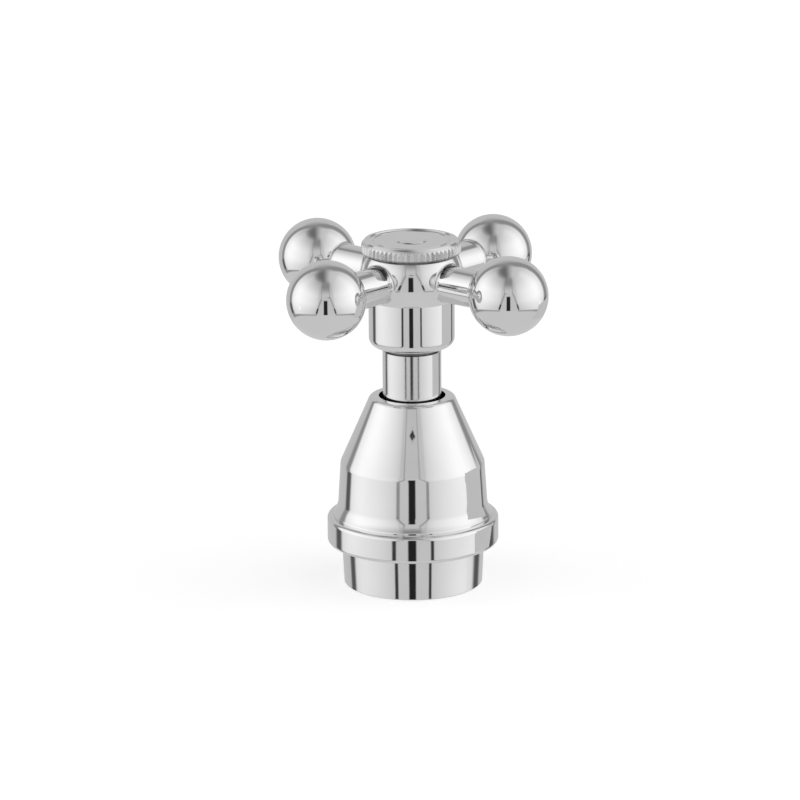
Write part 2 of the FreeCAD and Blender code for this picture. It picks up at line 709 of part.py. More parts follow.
def make_handle_hub():
    """The hub: collar, bulging middle with four stubs for the arms, and the cap's thread."""
    body = new_body("handle_hub", "collar_bottom")
    middle = "ball_height - collar_bottom"
    top = "hub_top - collar_bottom"
    bulge_middle = ("hub_radius - hub_bulge_radius", f"{middle} + hub_bulge_lift")
    crown_rise = "hub_crown_lift - hub_bulge_lift"
    crown_radius = f"{bulge_middle[0]} + sqrt(hub_bulge_radius ^ 2 - ({crown_rise}) ^ 2)"
    foot_drop = "hub_foot_drop + hub_bulge_lift"
    foot_radius = f"{bulge_middle[0]} + sqrt(hub_bulge_radius ^ 2 - ({foot_drop}) ^ 2)"
    turned(body, "outside", (
        ("0", "0"),
        ("collar_radius", "0"),
        ("collar_radius", "collar_height"),
        (foot_radius, "collar_height"),
        (crown_radius, top, bulge_middle),
        ("spigot_radius", top),
        ("spigot_radius", f"{top} + spigot_height"),
        ("0", f"{top} + spigot_height"),
    ))
    stub = body.newObject("PartDesign::Pad", "stub")
    stub.Profile = circle(body, "stub_circle", "YZ_Plane", "0", middle, "arm_radius")
    bind(stub, "Length", "arm_start")
    document.recompute()
    stubs = patterned(body, "stubs", stub, str(len(ARM_SIDES)))
    roots = softened(body, "roots", stubs, root_edges(stubs, middle), "hub_root_round")
    foot = rings(roots, "collar_radius", "0")
    softened(body, "collar_foot", roots, foot, "collar_round")
    pocket_floor = "pocket_floor - collar_bottom"
    bored(body, "inside", (
        ("0", "0"),
        ("sleeve_neck_radius", "0"),
        ("sleeve_neck_radius", "sleeve_grip"),
        ("spindle_radius", "sleeve_grip"),
        ("spindle_radius", "spindle_top - collar_bottom"),
        ("screw_bore", "spindle_top - collar_bottom"),
        ("screw_bore", pocket_floor),
        ("screw_pocket_radius", pocket_floor),
        ("screw_pocket_radius", f"{top} + spigot_height"),
        ("0", f"{top} + spigot_height"),
    ))
    bored(body, "cap_seal_groove", (
        ("cap_seal_radius - cap_seal_thickness / 2", f"{top} - cap_seal_thickness"),
        ("cap_seal_radius + cap_seal_thickness / 2", f"{top} - cap_seal_thickness"),
        ("cap_seal_radius + cap_seal_thickness / 2", top),
        ("cap_seal_radius - cap_seal_thickness / 2", top),
    ))
    socket_bottom = "arm_start - arm_thread_length - slip_gap"
    socket_circle = circle(body, "socket_circle", "YZ_Plane", "0", middle,
                           "arm_thread_radius + slip_gap", socket_bottom)
    socket = pocket(body, "socket", socket_circle, "arm_thread_length + 2 * slip_gap")
    patterned(body, "sockets", socket, str(len(ARM_SIDES)))
    return body


def root_edges(feature, middle):
    """The names of the edges where the stubs leave the hub."""
    found = []
    for number, edge in enumerate(feature.Shape.Edges, start=1):
        if isinstance(edge.Curve, (Part.Line, Part.Circle)):
            continue
        point = edge.valueAt((edge.FirstParameter + edge.LastParameter) / 2)
        side = min(abs(point.x), abs(point.y))
        from_axis = math.hypot(side, point.z - length(middle))
        if abs(from_axis - length("arm_radius")) < SAME_PLACE:
            found.append(f"Edge{number}")
    return found


def make_arm(label, turn):
    """An arm: screwed end, round rod, and a cupped, flared end that fits the ball."""
    body = new_body(label, "ball_height", turn)
    flare_reach = "sqrt((ball_radius + arm_flare) ^ 2 - (arm_radius + arm_flare) ^ 2)"
    share = "ball_radius / (ball_radius + arm_flare)"
    ball_middle = ("ball_reach", "0")
    flare_middle = (f"ball_reach - {flare_reach}", "arm_radius + arm_flare")
    lip = (f"ball_reach - {flare_reach} * {share}", f"(arm_radius + arm_flare) * {share}")
    cup = "ball_reach - sqrt(ball_radius ^ 2 - arm_spigot_radius ^ 2)"
    spigot_end = "ball_reach - ball_radius + arm_spigot_length"
    turned(body, "rod", (
        ("arm_start - arm_thread_length", "0"),
        ("arm_start - arm_thread_length", "arm_thread_radius"),
        ("arm_start", "arm_thread_radius"),
        ("arm_start", "arm_radius"),
        (flare_middle[0], "arm_radius"),
        (*lip, flare_middle),
        (cup, "arm_spigot_radius", ball_middle),
        (spigot_end, "arm_spigot_radius"),
        (spigot_end, "0"),
    ), "H_Axis")
    return body


def make_ball(label, turn):
    """A ball with a hole for the arm's spigot."""
    body = new_body(label, "ball_height", turn)
    bore = "arm_spigot_radius + slip_gap"
    mouth = f"ball_reach - sqrt(ball_radius ^ 2 - ({bore}) ^ 2)"
    bore_end = "ball_reach - ball_radius + arm_spigot_length + slip_gap"
    turned(body, "ball", (
        ("ball_reach + ball_radius", "0"),
        (mouth, bore, ("ball_reach", "0")),
        (bore_end, bore),
        (bore_end, "0"),
    ), "H_Axis")
    return body


def make_handle_screw():
    """The screw that holds the hub on the spindle, with a key socket in its head."""
    body = new_body("handle_screw", "screw_head_bottom - screw_length")
    top = "screw_length + screw_head_height"
    turned(body, "screw", (
        ("0", "0"),
        ("screw_radius", "0"),
        ("screw_radius", "screw_length"),
        ("screw_head_radius", "screw_length"),
        ("screw_head_radius", top),
        ("0", top),
    ))
    before = body.Shape.Volume
    key = hexagon(body, "key_socket", "SubtractivePrism", "screw_key", "screw_key_depth",
                  f"{top} - screw_key_depth")
    must_remove(body, key, before)
    return body


def make_index_cap():
    """The index cap: bored for its thread, knurled round the side, with turned rings on its face."""
    body = new_body("index_cap", "hub_top")
    bore = "spigot_radius + slip_gap"
    round_reach = "(cap_face_radius + cap_bevel - cap_radius + cap_side_round)"
    round_rise = f"sqrt(cap_side_round ^ 2 - {round_reach} ^ 2)"
    shoulder = f"cap_height - cap_bevel - {round_rise}"
    round_middle = ("cap_radius - cap_side_round", shoulder)
    face = "cap_height - cap_dish"
    line_inside = "cap_line_radius - cap_line_width / 2"
    line_outside = "cap_line_radius + cap_line_width / 2"
    turned(body, "cap", (
        (bore, "0"),
        ("cap_radius - cap_bevel", "0"),
        ("cap_radius", "cap_bevel"),
        ("cap_radius", shoulder),
        ("cap_face_radius + cap_bevel", "cap_height - cap_bevel", round_middle),
        ("cap_face_radius", "cap_height"),
        ("cap_face_radius - cap_rim", "cap_height"),
        ("cap_face_radius - cap_rim - cap_dish", face),
        (line_outside, face),
        ("cap_line_radius", f"{face} - cap_line_depth"),
        (line_inside, face),
        ("cap_boss_radius + cap_dish", face),
        ("cap_boss_radius", f"{face} + cap_line_depth"),
        ("0", f"{face} + cap_line_depth"),
        ("0", "cap_bore_depth"),
        (bore, "cap_bore_depth"),
    ))
    notch = new_sketch(body, "notch_outline", "XY_Plane")
    add_notch(notch)
    cut = pocket(body, "notch", notch, "cap_height")
    patterned(body, "knurl", cut, "knurl_count")
    return body


def add_notch(sketch):
    """A three-cornered notch in the cap's edge, on the X axis."""
    half_width = "2 * knurl_share * pi * cap_radius / knurl_count"
    bottom = FreeCAD.Vector(length("cap_radius - knurl_depth"), 0, 0)
    left = FreeCAD.Vector(length("cap_radius + knurl_depth"), -length(half_width), 0)
    right = FreeCAD.Vector(length("cap_radius + knurl_depth"), length(half_width), 0)
    corners = (bottom, left, right)
    for number, corner in enumerate(corners):
        sketch.addGeometry(Part.LineSegment(corner, corners[(number + 1) % 3]))
    for number in range(3):
        after = (number + 1) % 3
        sketch.addConstraint(Sketcher.Constraint("Coincident", number, END, after, START))
    hold(sketch, ACROSS, 0, START, "cap_radius - knurl_depth")
    hold(sketch, UP, 0, START, "0")
    hold(sketch, ACROSS, 2, START, "cap_radius + knurl_depth")
    hold(sketch, UP, 2, START, half_width)
    sketch.addConstraint(Sketcher.Constraint("Symmetric", 1, START, 1, END, -1))


def make_parts():
    """Every sub-part, each an object with its own name."""
    parts = [make_tap_body()]
    parts.append(tube("base_seal", "foot_groove_radius", "foot_groove_radius + foot_groove_width",
                      "foot_groove_depth", "0"))
    parts.append(make_base_ring())
    parts.append(make_bonnet())
    groove_floor = "(neck_radius - seal_groove_depth)"
    parts.append(o_ring("bonnet_seal", f"({groove_floor} + fit_radius) / 2",
                        f"fit_radius - {groove_floor}",
                        "barrel_height + seal_groove_height + seal_groove_width / 2"))
    parts.append(make_headwork_body())
    parts.append(tube("headwork_washer", "headwork_radius + slip_gap", "headwork_washer_radius",
                      "headwork_washer_height", "neck_top"))
    parts.append(tube("gland_washer", "spindle_radius + washer_gap", "stuffing_radius - slip_gap",
                      "gland_washer_height", "stuffing_bottom"))
    parts.append(tube("gland_packing", "spindle_radius + slip_gap", "stuffing_radius - slip_gap",
                      "packing_height", "packing_bottom"))
    parts.append(make_gland_nut())
    parts.append(make_valve_seat())
    parts.append(make_jumper())
    parts.append(tube("tap_washer", "jumper_stud_radius + slip_gap", "tap_washer_radius",
                      "tap_washer_height", "washer_bottom"))
    parts.append(make_washer_nut())
    parts.append(make_spindle())
    parts.append(make_stem_sleeve())
    parts.append(make_handle_hub())
    for number, side in enumerate(ARM_SIDES):
        parts.append(make_arm(f"arm_{side}", QUARTER_TURN * number))
        parts.append(make_ball(f"ball_{side}", QUARTER_TURN * number))
    parts.append(tube("screw_washer", "screw_radius + washer_gap", "screw_washer_radius",
                      "screw_washer_height", "pocket_floor"))
    parts.append(make_handle_screw())
    parts.append(o_ring("cap_seal", "cap_seal_radius", "cap_seal_thickness",
                        "hub_top - cap_seal_thickness / 2"))
    parts.append(make_index_cap())
    return parts


def check(parts):
    """Nothing may have failed, and every sub-part must be one sound solid."""
    for item in document.Objects:
        failed = {"Invalid", "Error"}.intersection(item.State)
        if failed:
            raise RuntimeError(f"{item.Name}: {item.State}")
    for part in parts:
        shape = part.Shape
        if shape.isNull() or not shape.isValid() or len(shape.Solids) != 1:
            raise RuntimeError(f"{part.Label}: not one sound solid")


all_parts = make_parts()
document.recompute()
check(all_parts)
os.makedirs("parts", exist_ok=True)
for part in all_parts:
    part.Shape.exportStep(os.path.join("parts", part.Label + ".step"))
    print(f"{part.Label:18s} {part.Shape.Volume:10.2f} mm3")
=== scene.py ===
import json
import math
from collections import namedtuple

import bmesh
import bpy
from mathutils import Matrix, Vector

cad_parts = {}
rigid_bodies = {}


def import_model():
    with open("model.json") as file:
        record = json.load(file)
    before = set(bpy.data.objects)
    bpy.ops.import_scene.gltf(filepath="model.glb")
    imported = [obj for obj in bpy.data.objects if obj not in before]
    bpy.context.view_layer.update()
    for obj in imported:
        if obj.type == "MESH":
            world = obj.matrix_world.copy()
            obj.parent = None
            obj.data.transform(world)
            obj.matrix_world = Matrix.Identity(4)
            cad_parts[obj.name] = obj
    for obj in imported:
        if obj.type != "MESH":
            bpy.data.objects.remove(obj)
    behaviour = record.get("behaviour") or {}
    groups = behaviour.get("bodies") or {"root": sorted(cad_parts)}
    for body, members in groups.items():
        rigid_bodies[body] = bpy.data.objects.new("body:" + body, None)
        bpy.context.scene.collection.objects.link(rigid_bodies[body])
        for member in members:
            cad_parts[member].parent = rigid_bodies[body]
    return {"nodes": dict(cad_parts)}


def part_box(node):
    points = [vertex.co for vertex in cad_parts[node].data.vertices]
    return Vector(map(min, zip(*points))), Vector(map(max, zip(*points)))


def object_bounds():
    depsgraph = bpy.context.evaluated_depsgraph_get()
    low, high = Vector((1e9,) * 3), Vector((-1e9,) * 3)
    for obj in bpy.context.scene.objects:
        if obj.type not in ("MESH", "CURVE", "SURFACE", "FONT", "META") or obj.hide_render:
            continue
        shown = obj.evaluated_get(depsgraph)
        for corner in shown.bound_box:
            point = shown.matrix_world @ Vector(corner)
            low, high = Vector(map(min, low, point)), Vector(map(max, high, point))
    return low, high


bl_info = {
    "name": "Cross handle tap",
    "version": (1, 0, 0),
    "blender": (4, 5, 0),
    "location": "View3D > Sidebar > Tap",
    "description": "Chrome finish, inner materials, studio and camera for a cross handle tap",
    "category": "Object",
}

for leftover in list(bpy.data.objects):
    bpy.data.objects.remove(leftover)

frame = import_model()
cad_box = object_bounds()

BALL_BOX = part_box("ball_right")
BALL_MIDDLE_HEIGHT = (BALL_BOX[0].z + BALL_BOX[1].z) / 2
CAP_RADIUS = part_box("index_cap")[1].x
CAP_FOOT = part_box("index_cap")[0].z
SLEEVE_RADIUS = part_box("stem_sleeve")[1].x

PICTURE_PIXELS = 800
SENSOR_WIDTH_MM = 36.0
CAMERA_REACH = 10.0
FROM_AXIS = (1.0, 1.0, 0.0)
UPWARDS = (0.0, 0.0, 1.0)

# A soft step: where it begins and ends, and what it gives there.
Step = namedtuple("Step", "low high at_low at_high", defaults=(0.0, 1.0))

# A noise pattern: cells in a metre, finer layers, and how strong these are.
Pattern = namedtuple("Pattern", "scale detail roughness")


# The plate

CLOUD = Pattern(90.0, 3.0, 0.55)
CLOUD_SHADE = Step(0.3, 0.7, 0.965, 1.0)
SMEAR = Pattern(260.0, 4.0, 0.6)
SMEAR_PATCH = Step(0.45, 0.72)
RIPPLE = Pattern(420.0, 2.0, 0.4)
HAIRLINE = Pattern(2600.0, 2.0, 0.5)
HAIRLINE_PATCH = Step(0.62, 0.74)
HAIRLINE_ROUGHNESS = 0.05
HAIRLINE_DEPTH = 0.05
# The hairlines' pattern is squeezed in height, so that they run round the turned pieces.
HAIRLINE_SQUEEZE = (1.0, 1.0, 9.0)

# The plated nodes, how much of the hairlines shows, and the ripple's depth in metres.
Plated = namedtuple("Plated", "nodes hairlines ripple")
DEEP_RIPPLE = 0.000002
FAINT_RIPPLE = 0.000001
PLATED = {
    "barrel": Plated(("tap_body",), 0.3, DEEP_RIPPLE),
    "ring": Plated(("base_ring",), 0.4, FAINT_RIPPLE),
    "bonnet": Plated(("bonnet",), 0.3, DEEP_RIPPLE),
    "sleeve": Plated(("stem_sleeve",), 0.5, FAINT_RIPPLE),
    "hub": Plated(("handle_hub",), 0.3, DEEP_RIPPLE),
    "arm": Plated(("arm_right", "arm_back", "arm_left", "arm_front"), 0.3, DEEP_RIPPLE),
    "ball": Plated(("ball_right", "ball_back", "ball_left", "ball_front"), 0.2, DEEP_RIPPLE),
    "cap": Plated(("index_cap",), 0.6, FAINT_RIPPLE),
}

# A darker part of a turned piece. It goes from untouched to darkened between two distances from the
# axis, or between two heights. There the colour is multiplied by tint, and roughness is added. The
# darkening is painted shade, except on the knurl, where it is the knurl's own duller tone.
ShadeAndSatinBand = namedtuple("ShadeAndSatinBand", "along clean dull tint roughness")
# Painted shade: the sleeve's narrow groove under the collar is darkened to a quarter of its colour.
SLEEVE_GROOVE_SHADE = ShadeAndSatinBand(
    along=FROM_AXIS, clean=0.97 * SLEEVE_RADIUS, dull=0.94 * SLEEVE_RADIUS, tint=0.25, roughness=0.2)
# Painted shadow: the hub's top, just under the cap's overhang, is darkened.
HUB_SHADE_UNDER_CAP = ShadeAndSatinBand(
    along=UPWARDS, clean=CAP_FOOT - 0.0007, dull=CAP_FOOT - 0.0002, tint=0.35, roughness=0.1)
CAP_KNURL = ShadeAndSatinBand(
    along=FROM_AXIS, clean=0.955 * CAP_RADIUS, dull=0.965 * CAP_RADIUS, tint=0.93, roughness=0.30)
# Painted shade: a thin band at the cap's lower edge, just above its foot, is darkened to half.
CAP_LOWER_EDGE_SHADE = ShadeAndSatinBand(
    along=UPWARDS, clean=CAP_FOOT + 0.0005, dull=CAP_FOOT + 0.0002, tint=0.5, roughness=0.1)


# The materials inside

BRASS_NODES = (
    "headwork_body", "gland_washer", "gland_nut", "valve_seat", "jumper", "washer_nut", "spindle",
)
STEEL_NODES = ("screw_washer", "handle_screw")
RUBBER_NODES = ("base_seal", "bonnet_seal", "tap_washer", "cap_seal")
FIBRE_NODES = ("headwork_washer",)
PACKING_NODES = ("gland_packing",)

# The dark grains' share of a material's colour.
BRASS_SHADE = 0.8
RUBBER_SHADE = 0.6
GRAIN_DETAIL = 4.0
GRAIN_ROUGHNESS = 0.65
GRAIN_PATCH = Step(0.35, 0.68)
# Between these heights of the grain, a material is smoother or rougher by the spread.
GRAIN_LOW = 0.3
GRAIN_HIGH = 0.7
GRAIN_SPREAD = 0.2


# The studio

# Edges of the soft panels as seen from the tap. Each is a plane through the tap, given by its
# normal's parts to the camera's right, towards the camera and up. The panel lies on its positive
# side, and reaches beyond it by lowered. Soft is half the width of the edge itself, and rim is
# the width of the frame outside it.
PanelEdge = namedtuple("PanelEdge", "side forward up lowered soft rim")
LEFT_PANEL = (
    PanelEdge(-1.0, -0.402, 0.385, 0.0, 0.020, 0.085),
    PanelEdge(-1.0, -0.210, -0.120, 0.0, 0.020, 0.035),
    PanelEdge(0.0, 0.0, 1.0, 0.455, 0.020, 0.060),
    PanelEdge(-0.500, 1.0, 0.250, 0.0, 0.065, 0.230),
)
RIGHT_PANEL = (
    PanelEdge(1.0, -0.402, 0.385, 0.0, 0.020, 0.070),
    PanelEdge(1.0, -0.165, -0.107, 0.0, 0.025, 0.035),
    PanelEdge(0.0, 0.0, 1.0, 0.455, 0.020, 0.060),
    PanelEdge(0.650, 1.0, 0.200, 0.0, 0.090, 0.330),
)

# Steps over a direction's part upwards, forwards or to the side. They give a brightness, or the
# share of one.
ROOM_BACK = Step(0.55, 0.90, 0.60, 0.34)
ROOM_FRONT = Step(0.45, 0.80, 0.65, 0.30)
ROOM_BACK_TO_FRONT = Step(-0.25, 0.15)
ROOM_FLOOR_END = Step(-0.50, -0.46)
ROOM_FLOOR = 0.68
OVERHEAD = Step(-0.15, 0.22, 0.17, 0.66)
OVERHEAD_START = Step(0.86, 0.985)
FRAME_DARK_START = Step(-0.44, -0.40)
FRAME_DARK_END = Step(-0.22, -0.14, 1.0, 0.0)
FRAME_PLAIN = Step(-0.3, 0.3, 0.31, 0.42)
FRAME_DARK = Step(-0.3, 0.3, 0.11, 0.05)
SLIT_MIDDLE = -0.020
SLIT_SIDES = Step(0.070, 0.115, 1.0, 0.0)
SLIT_LOW_END = Step(-0.50, -0.47)
SLIT_HIGH_END = Step(0.18, 0.26, 1.0, 0.0)
SLIT_IN_FRONT = Step(0.0, 0.2)
SLIT_LEVEL = 0.02

# A panel's light. Its least is at the gap between the panels, and it rises from there by a power.
PANEL_LEAST = 0.65
PANEL_RISE = 0.54
PANEL_RISE_START = 0.93
PANEL_RISE_RATE = 1.2
PANEL_RISE_POWER = 0.40
PANEL_FAR_END = Step(-0.60, -0.05, 0.80, 1.0)
PANEL_LOW_DOWN = Step(-0.50, 0.10, 0.78, 1.03)
PANEL_FALL_START = 0.38
PANEL_FALL_RATE = 1.85
PANEL_FALL_POWER = 1.4
PANEL_FALL = Step(-0.1, 0.1, 0.52, 0.32)
# Keeps the level part of a direction above zero straight up and straight down.
JUST_OVER_ONE = 1.0001

FLOOR_SIDES = 128
FLOOR_DROP = 0.00005
FLOOR_GLOW = 0.47
MATT = 0.9
SHEET_GREY = 0.02
HOLE_LEVEL = 0.01


# Nodes and links

class Wiring:
    """A node tree with short calls for the nodes that the finishes use."""

    def __init__(self, tree):
        self.tree = tree

    def add(self, kind, **settings):
        node = self.tree.nodes.new(kind)
        for name, value in settings.items():
            setattr(node, name, value)
        return node

    def plug(self, source, socket):
        """Link an output to an input, or set the input's own value."""
        if isinstance(source, bpy.types.NodeSocket):
            self.tree.links.new(source, socket)
        else:
            socket.default_value = source

    def math(self, operation, *values, clamp=False):
        node = self.add("ShaderNodeMath", operation=operation, use_clamp=clamp)
        for value, socket in zip(values, node.inputs):
            self.plug(value, socket)
        return node.outputs[0]

    def product(self, first, second):
        return self.math("MULTIPLY", first, second)

    def ramp(self, value, step):
        """A soft step from one value to another."""
        node = self.add("ShaderNodeMapRange", interpolation_type="SMOOTHSTEP")
        self.plug(value, node.inputs["Value"])
        self.plug(step.low, node.inputs["From Min"])
        self.plug(step.high, node.inputs["From Max"])
        self.plug(step.at_low, node.inputs["To Min"])
        self.plug(step.at_high, node.inputs["To Max"])
        return node.outputs["Result"]

    def lerp(self, share, first, second):
        """A mix of two values."""
        return self.blend("FLOAT", share, first, second)

    def mix(self, share, first, second):
        """A mix of two colours."""
        return self.blend("RGBA", share, first, second)

    def blend(self, data_type, share, first, second):
        node = self.add("ShaderNodeMix", data_type=data_type)
        self.plug(share, node.inputs["Factor"])
        self.plug(first, node.inputs["A"])
        self.plug(second, node.inputs["B"])
        return node.outputs["Result"]

    def choose(self, share, first, second):
        """A mix of two shaders."""
        node = self.add("ShaderNodeMixShader")
        self.plug(share, node.inputs["Fac"])
        self.plug(first, node.inputs[1])
        self.plug(second, node.inputs[2])
        return node.outputs[0]

    def dot(self, vector, direction):
        node = self.add("ShaderNodeVectorMath", operation="DOT_PRODUCT")
        self.plug(vector, node.inputs[0])
        node.inputs[1].default_value = direction
        return node.outputs["Value"]

    def noise(self, place, scale, detail, roughness):
        node = self.add("ShaderNodeTexNoise")
        self.plug(place, node.inputs["Vector"])
        self.plug(scale, node.inputs["Scale"])
        node.inputs["Detail"].default_value = detail
        node.inputs["Roughness"].default_value = roughness
        return node.outputs["Fac"]

    def darken(self, colour, brightness):
        node = self.add("ShaderNodeHueSaturation")
        self.plug(colour, node.inputs["Color"])
        self.plug(brightness, node.inputs["Value"])
        return node.outputs["Color"]

    def bump(self, height, depth):
        """A normal for a height that is given as a share of a depth in metres."""
        node = self.add("ShaderNodeBump")
        node.inputs["Strength"].default_value = 1.0
        node.inputs["Distance"].default_value = depth
        self.plug(height, node.inputs["Height"])
        return node.outputs["Normal"]


def grey(value):
    return (value, value, value, 1.0)


def new_group(name, inputs, outputs):
    """An empty shader node group with named sockets."""
    tree = bpy.data.node_groups.new(name, "ShaderNodeTree")
    for label, kind, default in inputs:
        socket = tree.interface.new_socket(label, in_out="INPUT", socket_type=kind)
        socket.default_value = default
    for label, kind in outputs:
        tree.interface.new_socket(label, in_out="OUTPUT", socket_type=kind)
    wiring = Wiring(tree)
    return wiring, wiring.add("NodeGroupInput"), wiring.add("NodeGroupOutput")


def polish_group():
    """Buffed metal: faint haze and smears in the gloss, hairlines, and a very shallow ripple."""
    name = "Polish"
    if name in bpy.data.node_groups:
        return bpy.data.node_groups[name]
    wiring, given, result = new_group(
        name,
        (
            ("Tint", "NodeSocketColor", grey(0.8)),
            ("Gloss", "NodeSocketFloat", 0.03),
            ("Haze", "NodeSocketFloat", 0.05),
            ("Hairlines", "NodeSocketFloat", 0.3),
        ),
        (
            ("Color", "NodeSocketColor"),
            ("Roughness", "NodeSocketFloat"),
            ("Height", "NodeSocketFloat"),
        ),
    )
    place = wiring.add("ShaderNodeTexCoord").outputs["Object"]
    squeezed = wiring.add("ShaderNodeMapping")
    squeezed.inputs["Scale"].default_value = HAIRLINE_SQUEEZE
    wiring.plug(place, squeezed.inputs["Vector"])
    lines = wiring.noise(squeezed.outputs["Vector"], *HAIRLINE)
    hairline = wiring.product(wiring.ramp(lines, HAIRLINE_PATCH), given.outputs["Hairlines"])
    smear = wiring.ramp(wiring.noise(place, *SMEAR), SMEAR_PATCH)
    hazed = wiring.product(smear, given.outputs["Haze"])
    rough = wiring.math("ADD", given.outputs["Gloss"], hazed)
    lined = wiring.product(hairline, HAIRLINE_ROUGHNESS)
    wiring.plug(wiring.math("ADD", rough, lined), result.inputs["Roughness"])
    cloud = wiring.ramp(wiring.noise(place, *CLOUD), CLOUD_SHADE)
    wiring.plug(wiring.darken(given.outputs["Tint"], cloud), result.inputs["Color"])
    ripple = wiring.noise(place, *RIPPLE)
    height = wiring.math("MULTIPLY_ADD", hairline, -HAIRLINE_DEPTH, ripple)
    wiring.plug(height, result.inputs["Height"])
    return wiring.tree


def grain_group():
    """Fine grain for moulded and pressed materials: a mottled colour and a pitted height."""
    name = "Grain"
    if name in bpy.data.node_groups:
        return bpy.data.node_groups[name]
    wiring, given, result = new_group(
        name,
        (
            ("Light", "NodeSocketColor", grey(0.1)),
            ("Dark", "NodeSocketColor", grey(0.05)),
            ("Size", "NodeSocketFloat", 900.0),
        ),
        (("Color", "NodeSocketColor"), ("Height", "NodeSocketFloat")),
    )
    place = wiring.add("ShaderNodeTexCoord").outputs["Object"]
    grain = wiring.noise(place, given.outputs["Size"], GRAIN_DETAIL, GRAIN_ROUGHNESS)
    share = wiring.ramp(grain, GRAIN_PATCH)
    colour = wiring.mix(share, given.outputs["Dark"], given.outputs["Light"])
    wiring.plug(colour, result.inputs["Color"])
    wiring.plug(grain, result.inputs["Height"])
    return wiring.tree


def new_material(name):
    """A node material that holds one Principled shader."""
    material = bpy.data.materials.new(name)
    material.use_nodes = True
    return material, Wiring(material.node_tree), material.node_tree.nodes["Principled BSDF"]


def add_shade_and_satin_band(wiring, colour, roughness, band):
    """Darken and roughen the plate in a band: painted shade, except on the knurl, where the darkening
    is the knurl's own duller tone. Returns the new colour and roughness.
    """
    place = wiring.add("ShaderNodeTexCoord").outputs["Object"]
    part = wiring.add("ShaderNodeVectorMath", operation="MULTIPLY")
    wiring.plug(place, part.inputs[0])
    part.inputs[1].default_value = band.along
    distance = wiring.add("ShaderNodeVectorMath", operation="LENGTH")
    wiring.plug(part.outputs["Vector"], distance.inputs[0])
    share = wiring.ramp(distance.outputs["Value"], Step(band.clean, band.dull))
    # The tint paints shade in the groove, under the cap and at the cap's edge; on the knurl it is the
    # knurl's own tone.
    darker = wiring.darken(colour, wiring.lerp(share, 1.0, band.tint))
    added = wiring.product(share, band.roughness)
    return darker, wiring.math("ADD", roughness, added)


def dress(nodes, material):
    """Give some carried-over nodes a finish."""
    for name in nodes:
        node = frame["nodes"][name]
        for slot in node.material_slots:
            slot.material = material


def plate(piece, finish, gloss=None, bands=()):
    """Give a piece, or a set of like pieces, bright chrome plate over a buffed casting. Bands add
    painted shade, and on the knurl a duller tone.
    """
    plated = PLATED[piece]
    material, wiring, shader = new_material(f"chrome_{piece}")
    polish = wiring.add("ShaderNodeGroup", node_tree=polish_group())
    polish.inputs["Tint"].default_value = (*finish.chrome_colour, 1.0)
    polish.inputs["Gloss"].default_value = finish.chrome_roughness if gloss is None else gloss
    polish.inputs["Haze"].default_value = finish.chrome_haze
    polish.inputs["Hairlines"].default_value = plated.hairlines
    colour = polish.outputs["Color"]
    roughness = polish.outputs["Roughness"]
    for band in bands:
        colour, roughness = add_shade_and_satin_band(wiring, colour, roughness, band)
    wiring.plug(colour, shader.inputs["Base Color"])
    wiring.plug(roughness, shader.inputs["Roughness"])
    shader.inputs["Metallic"].default_value = 1.0
    wiring.plug(wiring.bump(polish.outputs["Height"], plated.ripple), shader.inputs["Normal"])
    dress(plated.nodes, material)


def grained_material(name, light, dark, size, roughness, metallic, depth):
    """A material with fine grain."""
    material, wiring, shader = new_material(name)
    grain = wiring.add("ShaderNodeGroup", node_tree=grain_group())
    grain.inputs["Light"].default_value = (*light, 1.0)
    grain.inputs["Dark"].default_value = (*dark, 1.0)
    grain.inputs["Size"].default_value = size
    wiring.plug(grain.outputs["Color"], shader.inputs["Base Color"])
    smoother = roughness * (1 - GRAIN_SPREAD)
    rougher = roughness * (1 + GRAIN_SPREAD)
    step = Step(GRAIN_LOW, GRAIN_HIGH, smoother, rougher)
    wiring.plug(wiring.ramp(grain.outputs["Height"], step), shader.inputs["Roughness"])
    shader.inputs["Metallic"].default_value = metallic
    wiring.plug(wiring.bump(grain.outputs["Height"], depth), shader.inputs["Normal"])
    return material


def shaded(colour, share):
    return tuple(share * part for part in colour)


# Settings

class TapStudioSettings(bpy.types.PropertyGroup):
    floor_radius: bpy.props.FloatProperty(
        name="Floor radius", description="Radius of the pale floor", default=0.9, subtype="DISTANCE",
        unit="LENGTH")
    floor_colour: bpy.props.FloatVectorProperty(
        name="Floor colour", description="Colour of the floor", default=(0.86, 0.86, 0.86), size=3,
        subtype="COLOR", min=0.0, max=1.0)
    light: bpy.props.FloatProperty(
        name="Light", description="Brightness of the soft panels and the room", default=1.0, min=0.0)
    card_distance: bpy.props.FloatProperty(
        name="Card distance", description="Card from the tap's axis", default=0.118,
        subtype="DISTANCE", unit="LENGTH")
    card_near: bpy.props.FloatProperty(
        name="Card near end", description="Card's near end in front of the tap's axis",
        default=0.010, subtype="DISTANCE", unit="LENGTH")
    card_far: bpy.props.FloatProperty(
        name="Card far end", description="Card's far end behind the tap's axis", default=0.095,
        subtype="DISTANCE", unit="LENGTH")
    card_bottom: bpy.props.FloatProperty(
        name="Card bottom", description="Card's lower edge above the tap's foot", default=-0.028,
        subtype="DISTANCE", unit="LENGTH")
    card_top: bpy.props.FloatProperty(
        name="Card top", description="Card's upper edge above the tap's foot", default=0.042,
        subtype="DISTANCE", unit="LENGTH")
    card_colour: bpy.props.FloatProperty(
        name="Card brightness", description="Brightness of the card", default=0.60, min=0.0)
    hole_forward: bpy.props.FloatProperty(
        name="Hole forward", description="Small dark hole from the tap's axis towards the camera",
        default=0.140, subtype="DISTANCE", unit="LENGTH")
    hole_up: bpy.props.FloatProperty(
        name="Hole up", description="Height of that hole", default=0.1155, subtype="DISTANCE",
        unit="LENGTH")
    hole_reach: bpy.props.FloatProperty(
        name="Hole reach", description="Half the width of that hole", default=0.017,
        subtype="DISTANCE", unit="LENGTH")
    hole_rise: bpy.props.FloatProperty(
        name="Hole rise", description="Half the height of that hole", default=0.0016,
        subtype="DISTANCE", unit="LENGTH")


